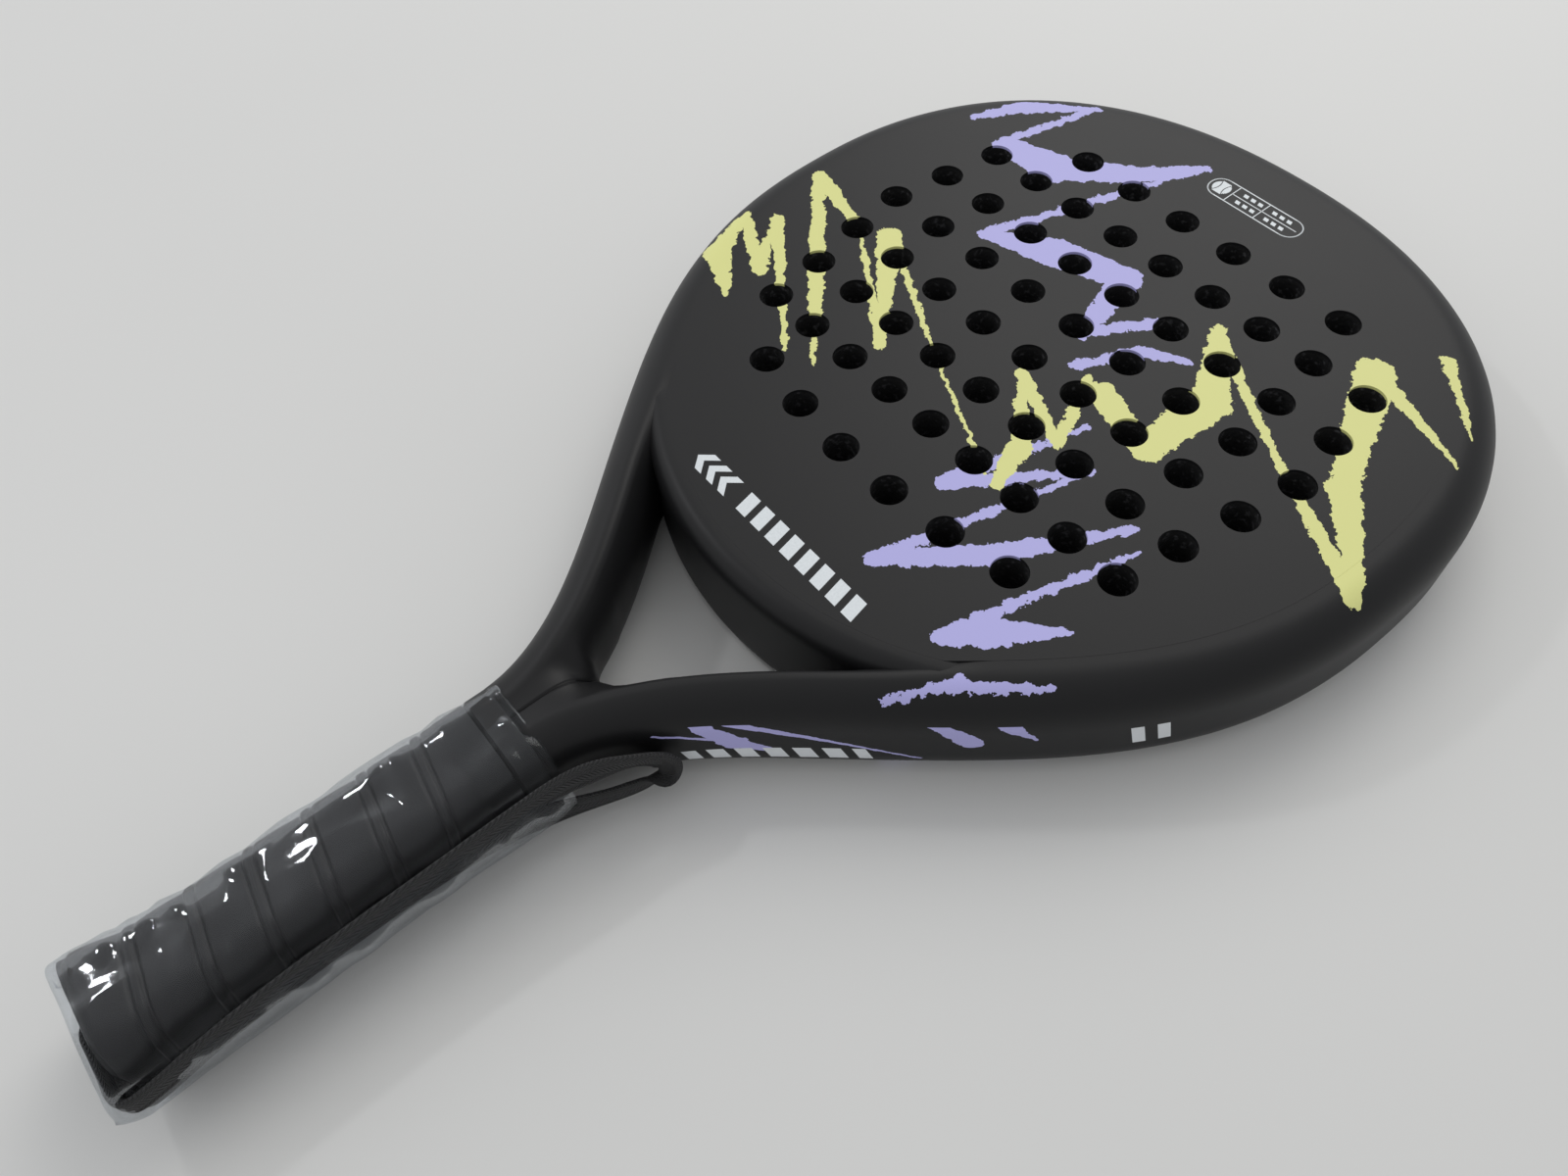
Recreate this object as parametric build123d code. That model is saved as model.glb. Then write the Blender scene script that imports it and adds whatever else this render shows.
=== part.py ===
"""Padel racket with a wrist strap, its grip still in the clear sleeve it is sold in.

Millimetres. +X runs from the butt to the tip, +Y across the face, +Z up through the thickness.
The racket lies on its back face on z = 0. The origin is under the middle of its length,
on the centre line. Every node is a separate piece of the racket as it is laid up and assembled.
"""
from build123d import *
import math
import os

os.makedirs("parts", exist_ok=True)

# ---- driving dimensions -------------------------------------------------------------------
racket_length = 449.0        # tip to butt face
head_width = 256.0           # across the widest part of the head
racket_thickness = 38.0      # over both faces

# head outline
tip_to_widest = 118.0        # from the tip back to the widest line
head_squareness = 2.2        # superellipse power of the outline above the widest line
widest_to_handle = 212.0     # from the widest line back to where the arms end
shoulder_power = 2.4         # how late the outline leaves the widest line
arm_power = 2.0              # how straight the arms run into the handle
yoke_width = 34.0            # over both arms where they end at the handle
yoke_thickness = 28.0        # through the arms there
edge_radius = 12.0           # rounding of the frame's outer edges

# frame tube, skins, core
least_half_width = 0.2       # an inset outline narrower than this has closed up
frame_tube_width = 22.0      # the tube round the head, across the face
arm_width = 16.6             # each arm, square to the outline
tube_wall = 1.8
skin_thickness = 1.0
skin_margin = 3.0            # flat left on frame and bridge outside the skin's edge
hole_diameter = 11.2

# drilling pattern: one entry a row, counted from the row behind the widest line
hole_row_pitch = 20.85       # between rows, along the racket
hole_row_origin = 20.0       # the middle row lies this far behind the widest line
hole_rows = {                # row number: (holes, distance between neighbours)
    -2: (9, 18.7),
    -1: (9, 19.5),
    0: (9, 20.6),
    1: (9, 21.4),
    2: (9, 20.5),
    3: (9, 19.6),
    4: (6, 21.6),
}
throat_row_back = 68.2       # the bowed row over the throat, behind the middle row
throat_row_radius = 240.0
throat_row_holes = 6
throat_row_pitch = 21.6

# bridge and throat opening
bridge_back = 142.0          # from the widest line back to the bridge's outer wall
bridge_inside_head = 6.0     # the bridge's arc is this much tighter than half the head's width
bridge_depth = 16.0          # through the bridge, along the racket
bridge_wall = 1.8
bridge_edge_radius = 5.0
opening_apex_back = 186.0    # handle end of the opening, behind the widest line
opening_corner_radius = 7.0

# handle, from the stems out
stem_width = 9.0             # each stem is one leg of the frame tube
stem_thickness = 18.0
stem_gap = 3.0               # between the two stems
pallet_width = 25.4
pallet_thickness = 22.4
cushion_thickness = 1.5
tape_thickness = 1.3
handle_corner_radius = 7.0   # of the cushion's section
collar_length = 8.0
collar_wall = 3.2
collar_chamfer = 1.2
flare_length = 20.0          # butt cap, along the handle
flare_height = 3.0           # how far the cap stands out at the butt face
cap_floor = 2.5
knot_room = 10.0             # hollow behind the cap's floor
cap_slot_width = 6.6
cap_slot_height = 11.0
tack_shank_diameter = 1.5
tack_head_diameter = 4.0
tack_head_thickness = 1.0
tack_length = 2.6
tack_seat = 0.6              # the heads sit this far out of the pallets
tack_spacing = 12.0
tack_from_butt = 8.0
tack_clearance = 0.1
finishing_tape_length = 9.0
finishing_tape_thickness = 0.3

# wrist cord: a flat braid, made here as a plain tube along its route
cord_tube_diameter = 2.8
knot_diameter = 9.0
knot_length = 6.0
knot_edge_radius = 1.0

# clear film sleeve over the grip
film_wall = 0.4
butt_room = 6.0              # from the butt face to the outside of the closed end
film_mouth_past_yoke = 3.0   # the sleeve runs this far past the end of the handle
film_clearance = 0.6         # round the flared butt
film_flap = 6.5              # spare width on the cord's side
film_corner_radius = 9.0

# ---- places that follow from those --------------------------------------------------------
overall_length = racket_length + butt_room
x_tip = overall_length / 2
x_butt = x_tip - racket_length
x_widest = x_tip - tip_to_widest
x_yoke = x_widest - widest_to_handle
x_apex = x_widest - opening_apex_back
bridge_radius = head_width / 2 - bridge_inside_head
x_bridge = x_widest - bridge_back
x_bridge_centre = x_bridge + bridge_radius
x_row_origin = x_widest - hole_row_origin
x_flare = x_butt + flare_length
x_collar = x_yoke - collar_length
x_film_end = x_butt - butt_room
x_film_mouth = x_yoke + film_mouth_past_yoke
z_middle = racket_thickness / 2
x_stem_end = x_butt + cap_floor + knot_room
cushion_width = pallet_width + 2 * cushion_thickness
cushion_height = pallet_thickness + 2 * cushion_thickness

print("overall length", overall_length, "yoke", x_yoke, "apex", x_apex, "bridge", x_bridge, "butt", x_butt)


# ---- outline ------------------------------------------------------------------------------
def head_point(share):
    """Outline point above the widest line: share 0 is the widest line, 1 the tip."""
    turn = math.pi / 2 * (1 - share)
    x = x_widest + tip_to_widest * math.cos(turn) ** (2 / head_squareness)
    y = head_width / 2 * math.sin(turn) ** (2 / head_squareness)
    return x, y


def arm_point(share):
    """Outline point behind the widest line: share 0 is the end of the handle, 1 the widest line."""
    drop = (1 - (1 - share) ** shoulder_power) ** arm_power
    x = x_yoke + widest_to_handle * share
    y = yoke_width / 2 + (head_width - yoke_width) / 2 * drop
    return x, y


def inset_points(outline, steps, inset):
    """Points along one stretch of the outline, moved inwards square to it."""
    points = []
    for step in range(steps + 1):
        share = step / steps
        x, y = outline(share)
        if step in (0, steps):
            at_tip = outline is head_point and step == steps
            run_x, run_y = (0.0, -1.0) if at_tip else (1.0, 0.0)
        else:
            before = outline(share - 0.001)
            after = outline(share + 0.001)
            run_x, run_y = after[0] - before[0], after[1] - before[1]
        length = math.hypot(run_x, run_y)
        points.append((x + inset * run_y / length, y - inset * run_x / length))
    return points


def outline_face(inset):
    """Face inside the outline from the yoke to the tip, its edge moved inwards by inset."""
    arm = [point for point in inset_points(arm_point, 8, inset) if point[1] > least_half_width]
    head = inset_points(head_point, 6, inset)
    near_side = arm + head[1:]
    far_side = [(x, -y) for x, y in reversed(near_side[:-1])]
    return make_face([Spline(*near_side, *far_side), Line(far_side[-1], near_side[0])])


def rectangle(x_low, x_high, y_low, y_high):
    """Flat rectangle between two corners."""
    middle = Pos((x_low + x_high) / 2, (y_low + y_high) / 2)
    return middle * Rectangle(x_high - x_low, y_high - y_low)


def bridge_disc(radius):
    """Disc about the centre of the bridge's arcs."""
    return Pos(x_bridge_centre, 0) * Circle(radius)


def head_region(inset, arc_radius):
    """The head inside the frame, closed towards the throat by an arc of this radius."""
    x_mid = x_bridge_centre - 0.5 * arc_radius
    behind = rectangle(x_yoke - 50, x_mid, -head_width, head_width) - bridge_disc(arc_radius)
    return outline_face(inset) - behind


def opening_half_width(x, width):
    """Half the throat's width at x, between two arms of this width square to the outline."""
    share = (x - x_yoke) / widest_to_handle
    ahead = arm_point(share + 0.001)
    behind = arm_point(share - 0.001)
    slope = (ahead[1] - behind[1]) / (ahead[0] - behind[0])
    return arm_point(share)[1] - width * math.hypot(1, slope)


def bridge_corner(width, arc_radius):
    """Where the inner edge of an arm of this width meets an arc about the bridge's centre."""
    low = x_apex
    high = x_bridge_centre - arc_radius / 2
    for _ in range(60):
        x = (low + high) / 2
        y = opening_half_width(x, width)
        if x < x_bridge_centre and math.hypot(x - x_bridge_centre, y) > arc_radius:
            low = x
        else:
            high = x
    return x, y


def opening_region(grow):
    """The throat opening, its edge moved outwards by grow."""
    width = arm_width - grow
    arc_radius = bridge_radius - grow
    x_start = x_apex - grow
    x_end, y_end = bridge_corner(width, arc_radius)
    side = []
    for step in range(6):
        x = x_start + (x_end - x_start) * step / 5
        side.append((x, opening_half_width(x, width)))
    other = [(x, -y) for x, y in side]
    arc = ThreePointArc(side[-1], (x_bridge_centre - arc_radius, 0), other[-1])
    outline = make_face([Line(other[0], side[0]), Spline(*side), arc, Spline(*other)])
    return fillet(outline.vertices(), opening_corner_radius + grow)


def prism(region, z_low, z_high):
    """Upright solid on a flat region."""
    return extrude(Pos(0, 0, z_low) * region, amount=z_high - z_low, dir=(0, 0, 1))


# ---- thickness seen from the side -----------------------------------------------------------
def side_profile(inset):
    """Solid between the front and back surfaces: flat at the head, thinner at the yoke."""
    top = racket_thickness - inset
    bottom = inset
    yoke_top = z_middle + yoke_thickness / 2 - inset
    yoke_bottom = z_middle - yoke_thickness / 2 + inset
    start = x_yoke - 1.0
    far = x_tip + 10
    slope = (racket_thickness - yoke_thickness) / 2 / (x_bridge - x_yoke)
    upper = Spline((start, yoke_top), (x_bridge, top), tangents=((1, slope), (1, 0)))
    lower = Spline((start, yoke_bottom), (x_bridge, bottom), tangents=((1, -slope), (1, 0)))
    edges = [
        upper,
        Line((x_bridge, top), (far, top)),
        Line((far, top), (far, bottom)),
        Line((far, bottom), (x_bridge, bottom)),
        lower,
        Line((start, yoke_bottom), (start, yoke_top)),
    ]
    face = Plane.XZ * make_face(edges)
    return extrude(face, amount=head_width, both=True)


def racket_body(inset):
    """The whole head and arms as one rounded solid, moved inwards by inset."""
    blank = prism(outline_face(inset), inset, racket_thickness - inset)
    rim = [edge for edge in blank.edges() if edge.bounding_box().size.X > tip_to_widest / 2]
    return fillet(rim, edge_radius - inset) & side_profile(inset)


# ---- handle sections ------------------------------------------------------------------------
def section(width, height, radius, x):
    """Rounded rectangle across the handle at x."""
    plane = Plane(origin=(x, 0, z_middle), x_dir=(0, 1, 0), z_dir=(1, 0, 0))
    return plane * RectangleRounded(width, height, radius)


def handle_bar(width, height, radius, x_low, x_high):
    """Straight bar of rounded rectangular section along the handle."""
    return extrude(section(width, height, radius, x_low), amount=x_high - x_low, dir=(1, 0, 0))


def grip_form(grow):
    """The handle's outer form over cushion and cap, moved outwards by grow, flared at the butt."""
    width = cushion_width + 2 * grow
    height = cushion_height + 2 * grow
    radius = handle_corner_radius + grow
    bar = handle_bar(width, height, radius, x_flare, x_collar)
    small = section(width, height, radius, x_flare)
    large = section(width + 2 * flare_height, height + 2 * flare_height, radius + 1, x_butt)
    return bar + loft([large, small])


def box_between(x_low, x_high, y_low, y_high, z_low, z_high):
    """Plain box between two corners."""
    middle = Pos((x_low + x_high) / 2, (y_low + y_high) / 2, (z_low + z_high) / 2)
    return middle * Box(x_high - x_low, y_high - y_low, z_high - z_low)


# ---- the head ---------------------------------------------------------------------------------
def hole_places():
    """Centres of all the drilled holes."""
    places = []
    for row, (count, pitch) in hole_rows.items():
        for number in range(count):
            y = (number - (count - 1) / 2) * pitch
            places.append((x_row_origin + row * hole_row_pitch, y))
    for number in range(throat_row_holes):
        y = (number - (throat_row_holes - 1) / 2) * throat_row_pitch
        bow = throat_row_radius - math.sqrt(throat_row_radius ** 2 - y ** 2)
        places.append((x_row_origin - throat_row_back + bow, y))
    return places


def hole_pins():
    """One long pin through every hole's place."""
    pin = Cylinder(hole_diameter / 2, racket_thickness + 4)
    return [Pos(x, y, z_middle) * pin for x, y in hole_places()]


def skin_region(grow):
    """The face skin's outline, moved outwards by grow."""
    lip_radius = bridge_radius - bridge_edge_radius - skin_margin
    return head_region(edge_radius + skin_margin - grow, lip_radius + grow)


def face_skin(z_low):
    """One face skin before drilling."""
    return prism(skin_region(0), z_low, z_low + skin_thickness)


def frame_void():
    """The hollow of the frame tube, down to the end wall at the yoke."""
    above = racket_thickness + 1
    void = racket_body(tube_wall)
    void -= prism(head_region(frame_tube_width - tube_wall, bridge_radius + tube_wall), -1, above)
    void -= prism(opening_region(tube_wall), -1, above)
    under_skin = skin_thickness + tube_wall
    padded = skin_region(tube_wall)
    void -= prism(padded, 0, under_skin)
    void -= prism(padded, racket_thickness - under_skin, racket_thickness)
    return void - box_between(x_yoke - 1, x_yoke + tube_wall, -head_width, head_width, 0, racket_thickness)


def stem_sides():
    """Low and high Y of each of the two stems."""
    outer = stem_gap / 2 + stem_width
    return ((stem_gap / 2, outer), (-outer, -stem_gap / 2))


def make_frame_tube():
    """Hollow tube round the head, its two legs running down the arms into the handle."""
    above = racket_thickness + 1
    tube = racket_body(0) - prism(head_region(frame_tube_width, bridge_radius), -1, above)
    tube -= prism(opening_region(0), -1, above)
    tube -= face_skin(0)
    tube -= face_skin(racket_thickness - skin_thickness)
    tube -= frame_void()
    low = z_middle - stem_thickness / 2
    high = z_middle + stem_thickness / 2
    for near, far in stem_sides():
        tube += box_between(x_stem_end, x_yoke + tube_wall, near, far, low, high)
        tube -= box_between(x_stem_end - 1, x_yoke + tube_wall + 1, near + tube_wall, far - tube_wall,
                            low + tube_wall, high - tube_wall)
    return tube


def make_bridge():
    """Bridge shell between the head and the throat, and the foam that fills it."""
    inner_arc = bridge_radius - bridge_depth
    band = head_region(frame_tube_width, bridge_radius) - head_region(frame_tube_width, inner_arc)
    blank = prism(band, 0, racket_thickness)
    lips = [edge for edge in blank.edges() if is_bridge_lip(edge)]
    filling_low = skin_thickness + bridge_wall
    filled = head_region(frame_tube_width + bridge_wall, bridge_radius - bridge_wall)
    filled -= head_region(frame_tube_width - bridge_wall, inner_arc + bridge_wall)
    foam = prism(filled, filling_low, racket_thickness - filling_low)
    shell = fillet(lips, bridge_edge_radius) - face_skin(0)
    shell -= face_skin(racket_thickness - skin_thickness)
    return shell - foam, foam


def is_bridge_lip(edge):
    """True for the bridge's long edges on the throat side."""
    box = edge.bounding_box()
    return box.size.Z < 0.1 and box.min.X < x_bridge + 1.0 and box.size.Y > bridge_depth


def make_core():
    """Foam core inside the frame and the bridge, between the two skins."""
    region = head_region(frame_tube_width, bridge_radius - bridge_depth)
    return prism(region, skin_thickness, racket_thickness - skin_thickness)


def drilled(solid):
    """The solid with every face hole drilled through it."""
    return solid - hole_pins()


def make_throat_filler():
    """Foam wedge where the two arms meet, inside the frame tube's walls."""
    wedge = outline_face(arm_width)
    wedge &= rectangle(x_yoke + tube_wall, x_apex - 2 * tube_wall, -yoke_width, yoke_width)
    return prism(wedge, 0, racket_thickness) & racket_body(tube_wall)


# ---- the handle -------------------------------------------------------------------------------
def pallet_bar(x_low, x_high):
    """The outer form of the two pallets."""
    return handle_bar(pallet_width, pallet_thickness, handle_corner_radius - cushion_thickness,
                      x_low, x_high)


def make_stem_filler():
    """Foam strip between the two stems."""
    return box_between(x_stem_end, x_yoke, -stem_gap / 2, stem_gap / 2,
                       z_middle - stem_thickness / 2, z_middle + stem_thickness / 2)


def make_pallets():
    """Front and back half shells that give the handle its section."""
    outer = stem_gap / 2 + stem_width
    ring = pallet_bar(x_butt + cap_floor, x_yoke)
    ring -= box_between(x_butt, x_yoke, -outer, outer,
                        z_middle - stem_thickness / 2, z_middle + stem_thickness / 2)
    ring -= tacks()
    front = ring & box_between(x_butt, x_yoke, -50, 50, z_middle, racket_thickness)
    back = ring & box_between(x_butt, x_yoke, -50, 50, 0, z_middle)
    return front, back


def tacks(growth=0.0):
    """Four tacks through the cap into the pallets, their shanks and heads grown by growth."""
    seat = pallet_thickness / 2 + tack_seat
    shank = Cylinder(tack_shank_diameter / 2, tack_length, align=(Align.CENTER, Align.CENTER, Align.MAX))
    head = Cylinder(tack_head_diameter / 2 + growth, tack_head_thickness + 10 * growth,
                    align=(Align.CENTER, Align.CENTER, Align.MIN))
    tack = Pos(0, 0, seat) * (shank + head)
    places = []
    for side in (1, -1):
        place = Pos(x_butt + tack_from_butt, side * tack_spacing / 2, z_middle)
        places.append(place * tack)
        places.append(place * Rot(X=180) * tack)
    return places


def make_butt_cap():
    """Flared cap over the end of the pallets, with the slot for the wrist cord."""
    cap = grip_form(0) & box_between(x_butt, x_flare, -50, 50, -10, racket_thickness + 10)
    cap -= pallet_bar(x_butt + cap_floor, x_flare + 1)
    slot = Plane(origin=(x_butt - 1, 0, z_middle), x_dir=(0, 1, 0), z_dir=(1, 0, 0))
    cap -= extrude(slot * SlotOverall(cap_slot_height, cap_slot_width, rotation=90), amount=cap_floor + 2)
    return cap - tacks(tack_clearance)


def make_cushion():
    """Cushioned base grip round the pallets, from the cap to the collar."""
    cushion = grip_form(0) & box_between(x_flare, x_collar, -50, 50, -10, racket_thickness + 10)
    return cushion - pallet_bar(x_flare - 1, x_collar + 1)


def make_tape():
    """Outer grip tape over the cushion and the cap."""
    return grip_form(tape_thickness) - grip_form(0)


def make_finishing_tape():
    """Narrow adhesive band that holds the grip tape's upper end."""
    width = cushion_width + 2 * tape_thickness
    height = cushion_height + 2 * tape_thickness
    radius = handle_corner_radius + tape_thickness
    x_low = x_collar - finishing_tape_length
    rise = finishing_tape_thickness
    band = handle_bar(width + 2 * rise, height + 2 * rise, radius + rise, x_low, x_collar)
    return band - handle_bar(width, height, radius, x_low - 1, x_collar + 1)


def make_collar():
    """Rubber collar that closes the top of the grip against the arms."""
    width = pallet_width + 2 * collar_wall
    height = pallet_thickness + 2 * collar_wall
    ring = handle_bar(width, height, handle_corner_radius + collar_wall / 2, x_collar, x_yoke)
    rims = ring.edges().group_by(Axis.X)
    ring = chamfer(rims[0], collar_chamfer)
    return ring - pallet_bar(x_collar - 1, x_yoke + 1)


def make_sleeve():
    """Clear film bag over the grip, open at the throat and closed at the butt."""
    flared_width = cushion_width + 2 * tape_thickness + 2 * flare_height + 2 * film_clearance
    flared_height = cushion_height + 2 * tape_thickness + 2 * flare_height + 2 * film_clearance
    width = flared_width + film_flap
    aside = Pos(0, -film_flap / 2, 0)
    outside = handle_bar(width + 2 * film_wall, flared_height + 2 * film_wall,
                         film_corner_radius + film_wall, x_film_end, x_film_mouth)
    inside = handle_bar(width, flared_height, film_corner_radius, x_film_end + film_wall, x_film_mouth + 1)
    return aside * (outside - inside)


# ---- the wrist cord ---------------------------------------------------------------------------
# from the knot out of the cap's slot, round the butt's edge, along the grip, round the loop
# past the sleeve's mouth, and the same way back
cord_route = [
    (-217.0, -1.5, 16.5),
    (-223.6, -1.5, 16.5),
    (-223.3, -10.5, 16.8),
    (-223.7, -20.8, 17.0),
    (-216.0, -20.7, 17.3),
    (-202.0, -18.8, 17.7),
    (-182.0, -17.8, 18.2),
    (-158.0, -17.5, 18.4),
    (-134.0, -17.8, 17.9),
    (-116.0, -18.6, 15.2),
    (-103.0, -20.6, 11.4),
    (-92.0, -23.6, 8.4),
    (-82.0, -27.0, 8.6),
    (-75.5, -29.6, 12.6),
    (-75.5, -29.6, 19.6),
    (-82.0, -27.2, 24.2),
    (-92.0, -24.0, 26.4),
    (-103.0, -21.8, 27.4),
    (-116.0, -21.1, 27.1),
    (-134.0, -20.8, 25.9),
    (-158.0, -20.6, 25.0),
    (-182.0, -20.8, 24.6),
    (-202.0, -21.8, 23.8),
    (-216.0, -23.3, 22.6),
    (-225.4, -23.2, 21.9),
    (-225.0, -10.5, 21.6),
    (-225.4, 1.5, 21.5),
    (-217.0, 1.5, 21.5),
]


def cord_radii(points):
    """Largest arc at each corner: 0.45 of the shorter run over the tangent of half the turn."""
    radii = []
    for before, here, after in zip(points, points[1:], points[2:]):
        run_in = Vector(*here) - Vector(*before)
        run_out = Vector(*after) - Vector(*here)
        half_turn = math.radians(run_in.get_angle(run_out)) / 2
        radii.append(0.45 * min(run_in.length, run_out.length) / math.tan(half_turn))
    return radii


def make_cord():
    """The cord's tube, and the knot that holds its two ends behind the cap."""
    radii = cord_radii(cord_route)
    path = FilletPolyline(*cord_route, radius=radii)
    tube = sweep(Plane(origin=path @ 0, z_dir=path % 0) * Circle(cord_tube_diameter / 2), path=path)
    expected = math.pi * (cord_tube_diameter / 2) ** 2 * path.length
    print("cord radii", [round(radius, 1) for radius in radii])
    print("cord length", round(path.length, 1), "volume", round(tube.volume), "of", round(expected))
    knot_face = cord_route[0][0]
    knot = Cylinder(knot_diameter / 2, knot_length, rotation=(0, 90, 0),
                    align=(Align.CENTER, Align.CENTER, Align.MIN))
    knot = fillet(knot.edges(), knot_edge_radius)
    return tube, Pos(knot_face, 0, z_middle) * knot


# ---- all the nodes ------------------------------------------------------------------------------
def make_nodes():
    """Every node by its name."""
    nodes = {}
    nodes["front_face_skin"] = drilled(face_skin(racket_thickness - skin_thickness))
    nodes["back_face_skin"] = drilled(face_skin(0))
    nodes["foam_core"] = drilled(make_core())
    nodes["frame_tube"] = make_frame_tube()
    nodes["bridge_shell"], nodes["bridge_foam"] = make_bridge()
    nodes["throat_filler"] = make_throat_filler()
    nodes["stem_filler"] = make_stem_filler()
    nodes["handle_pallet_front"], nodes["handle_pallet_back"] = make_pallets()
    nodes["butt_cap"] = make_butt_cap()
    nodes["butt_cap_tacks"] = Compound(children=tacks())
    nodes["grip_cushion"] = make_cushion()
    nodes["grip_tape"] = make_tape()
    nodes["grip_finishing_tape"] = make_finishing_tape()
    nodes["grip_collar"] = make_collar()
    nodes["wrist_cord"], nodes["cord_knot"] = make_cord()
    nodes["film_sleeve"] = make_sleeve()
    return nodes


for name, shape in make_nodes().items():
    export_step(shape, "parts/" + name + ".step")
    size = shape.bounding_box().size
    print(name, len(shape.solids()), "solids", round(shape.volume), "mm3",
          [round(value, 1) for value in (size.X, size.Y, size.Z)])
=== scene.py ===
# %% [markdown]
# # A padel racket in its wrapping
# Metres, with +X towards the tip, +Y across the face and +Z out of the front face.

# %% Load the frame
import math

import bmesh
import bpy
from mathutils import Matrix, Vector, noise


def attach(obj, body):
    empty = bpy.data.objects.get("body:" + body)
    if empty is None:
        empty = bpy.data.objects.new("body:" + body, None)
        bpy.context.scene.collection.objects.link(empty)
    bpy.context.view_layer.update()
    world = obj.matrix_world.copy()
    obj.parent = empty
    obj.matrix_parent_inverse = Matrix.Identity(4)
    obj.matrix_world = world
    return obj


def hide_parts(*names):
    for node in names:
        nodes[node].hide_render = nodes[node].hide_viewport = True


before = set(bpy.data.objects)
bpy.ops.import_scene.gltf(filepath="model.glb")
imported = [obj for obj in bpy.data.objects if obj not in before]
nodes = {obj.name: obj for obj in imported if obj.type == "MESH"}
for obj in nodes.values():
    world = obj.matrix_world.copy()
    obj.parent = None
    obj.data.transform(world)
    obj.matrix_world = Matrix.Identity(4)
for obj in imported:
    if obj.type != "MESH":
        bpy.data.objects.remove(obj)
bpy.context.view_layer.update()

# %% [markdown]
# ## The camera
# A racket lying flat is looked down on from beside its butt. The three directions below are the camera's
# right, up and backward axes, which is steadier than a look-at target when the camera is also rolled.

# %% The camera
camera_data = bpy.data.cameras.new("camera")
camera_data.lens = 27.45
camera_data.sensor_width = 36.0
camera_data.clip_start = 0.01
camera = bpy.data.objects.new("camera", camera_data)
right = Vector((0.77914, -0.62488, -0.04965))
up = Vector((0.54147, 0.63099, 0.55557))
back = Vector((-0.31584, -0.45976, 0.82998))
camera.matrix_world = Matrix((right, up, back)).transposed().to_4x4()
camera.location = (-0.1273, -0.1693, 0.3118)
bpy.context.scene.collection.objects.link(camera)
bpy.context.scene.camera = camera
print("camera at", tuple(camera.location))

# %% [markdown]
# ## Small helpers
# A finish is a set of shader nodes, so one function adds a node with its settings and links.
# Most shapes start as a flat grid of quads whose points are then moved into place, which keeps
# the faces even and lets one function serve the frame, the tape, the film and the strap.

# %% Helpers for finishes
def colour(hex_code):
    """Linear colour from an sRGB hex value."""
    channels = []
    for start in (0, 2, 4):
        value = int(hex_code[start:start + 2], 16) / 255
        channels.append(value / 12.92 if value <= 0.04045 else ((value + 0.055) / 1.055) ** 2.4)
    return (*channels, 1.0)


def add(material, kind, settings=None, **inputs):
    """Adds a shader node, sets its settings, and sets or links its inputs."""
    tree = material.node_tree
    node = tree.nodes.new("ShaderNode" + kind)
    for name, value in (settings or {}).items():
        setattr(node, name, value)
    for name, value in inputs.items():
        key = int(name[1:]) if name[0] == "i" and name[1:].isdigit() else name.replace("_", " ")
        if isinstance(value, bpy.types.NodeSocket):
            tree.links.new(value, node.inputs[key])
        else:
            node.inputs[key].default_value = value
    return node


def math_node(material, operation, a, b=0.0, c=None):
    """One Math node's output."""
    node = add(material, "Math", {"operation": operation}, i0=a, i1=b)
    if isinstance(c, bpy.types.NodeSocket):
        material.node_tree.links.new(c, node.inputs[2])
    elif c is not None:
        node.inputs[2].default_value = c
    return node.outputs[0]


def finish_material(name):
    """An empty material."""
    material = bpy.data.materials.new(name)
    material.use_nodes = True
    material.node_tree.nodes.clear()
    return material


def end_material(material, shader):
    """Links the shader to the material's output."""
    add(material, "OutputMaterial", Surface=shader.outputs[0])
    return material


# %% Helpers for shapes
def placed_grid(name, along, around, place, fill_ends=True):
    """A grid of quads wrapped round: place(u, v) gives each point in mm, v = 0 and v = 1 meet."""
    shape = bmesh.new()
    bmesh.ops.create_grid(shape, x_segments=along, y_segments=around, size=0.5)
    laid = shape.loops.layers.uv.new("laid")
    for face in shape.faces:
        for corner in face.loops:
            corner[laid].uv = (corner.vert.co.x + 0.5, corner.vert.co.y + 0.5)
    for vert in shape.verts:
        vert.co = Vector(place(vert.co.x + 0.5, vert.co.y + 0.5)) / 1000
    bmesh.ops.remove_doubles(shape, verts=shape.verts, dist=2e-6)
    if fill_ends:
        rims = [edge for edge in shape.edges if edge.is_boundary]
        bmesh.ops.holes_fill(shape, edges=rims, sides=0)
    bmesh.ops.recalc_face_normals(shape, faces=shape.faces)
    return shape


def finished_piece(shape, name, body, *materials):
    """A bmesh as a smooth object that rides on a body."""
    mesh = bpy.data.meshes.new(name)
    shape.to_mesh(mesh)
    shape.free()
    for polygon in mesh.polygons:
        polygon.use_smooth = True
    piece = bpy.data.objects.new(name, mesh)
    for material in materials:
        mesh.materials.append(material)
    bpy.context.scene.collection.objects.link(piece)
    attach(piece, body)
    print(name, len(mesh.polygons), "faces")
    return piece


def smooth_step(low, high, value):
    """0 below low, 1 above high, and smooth between."""
    share = min(max((value - low) / (high - low), 0.0), 1.0)
    return share * share * (3 - 2 * share)


def mix(a, b, share):
    """The value this share of the way from a to b."""
    return a + (b - a) * share


# %% [markdown]
# ## The wrist strap's route
# A free cord has a real length, so its line comes first: it leaves the slot in the butt cap, turns along
# the side of the grip, makes its loop past the film's mouth and comes back. A NURBS spline through these
# control points bends smoothly, as a limp braid does.

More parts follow.
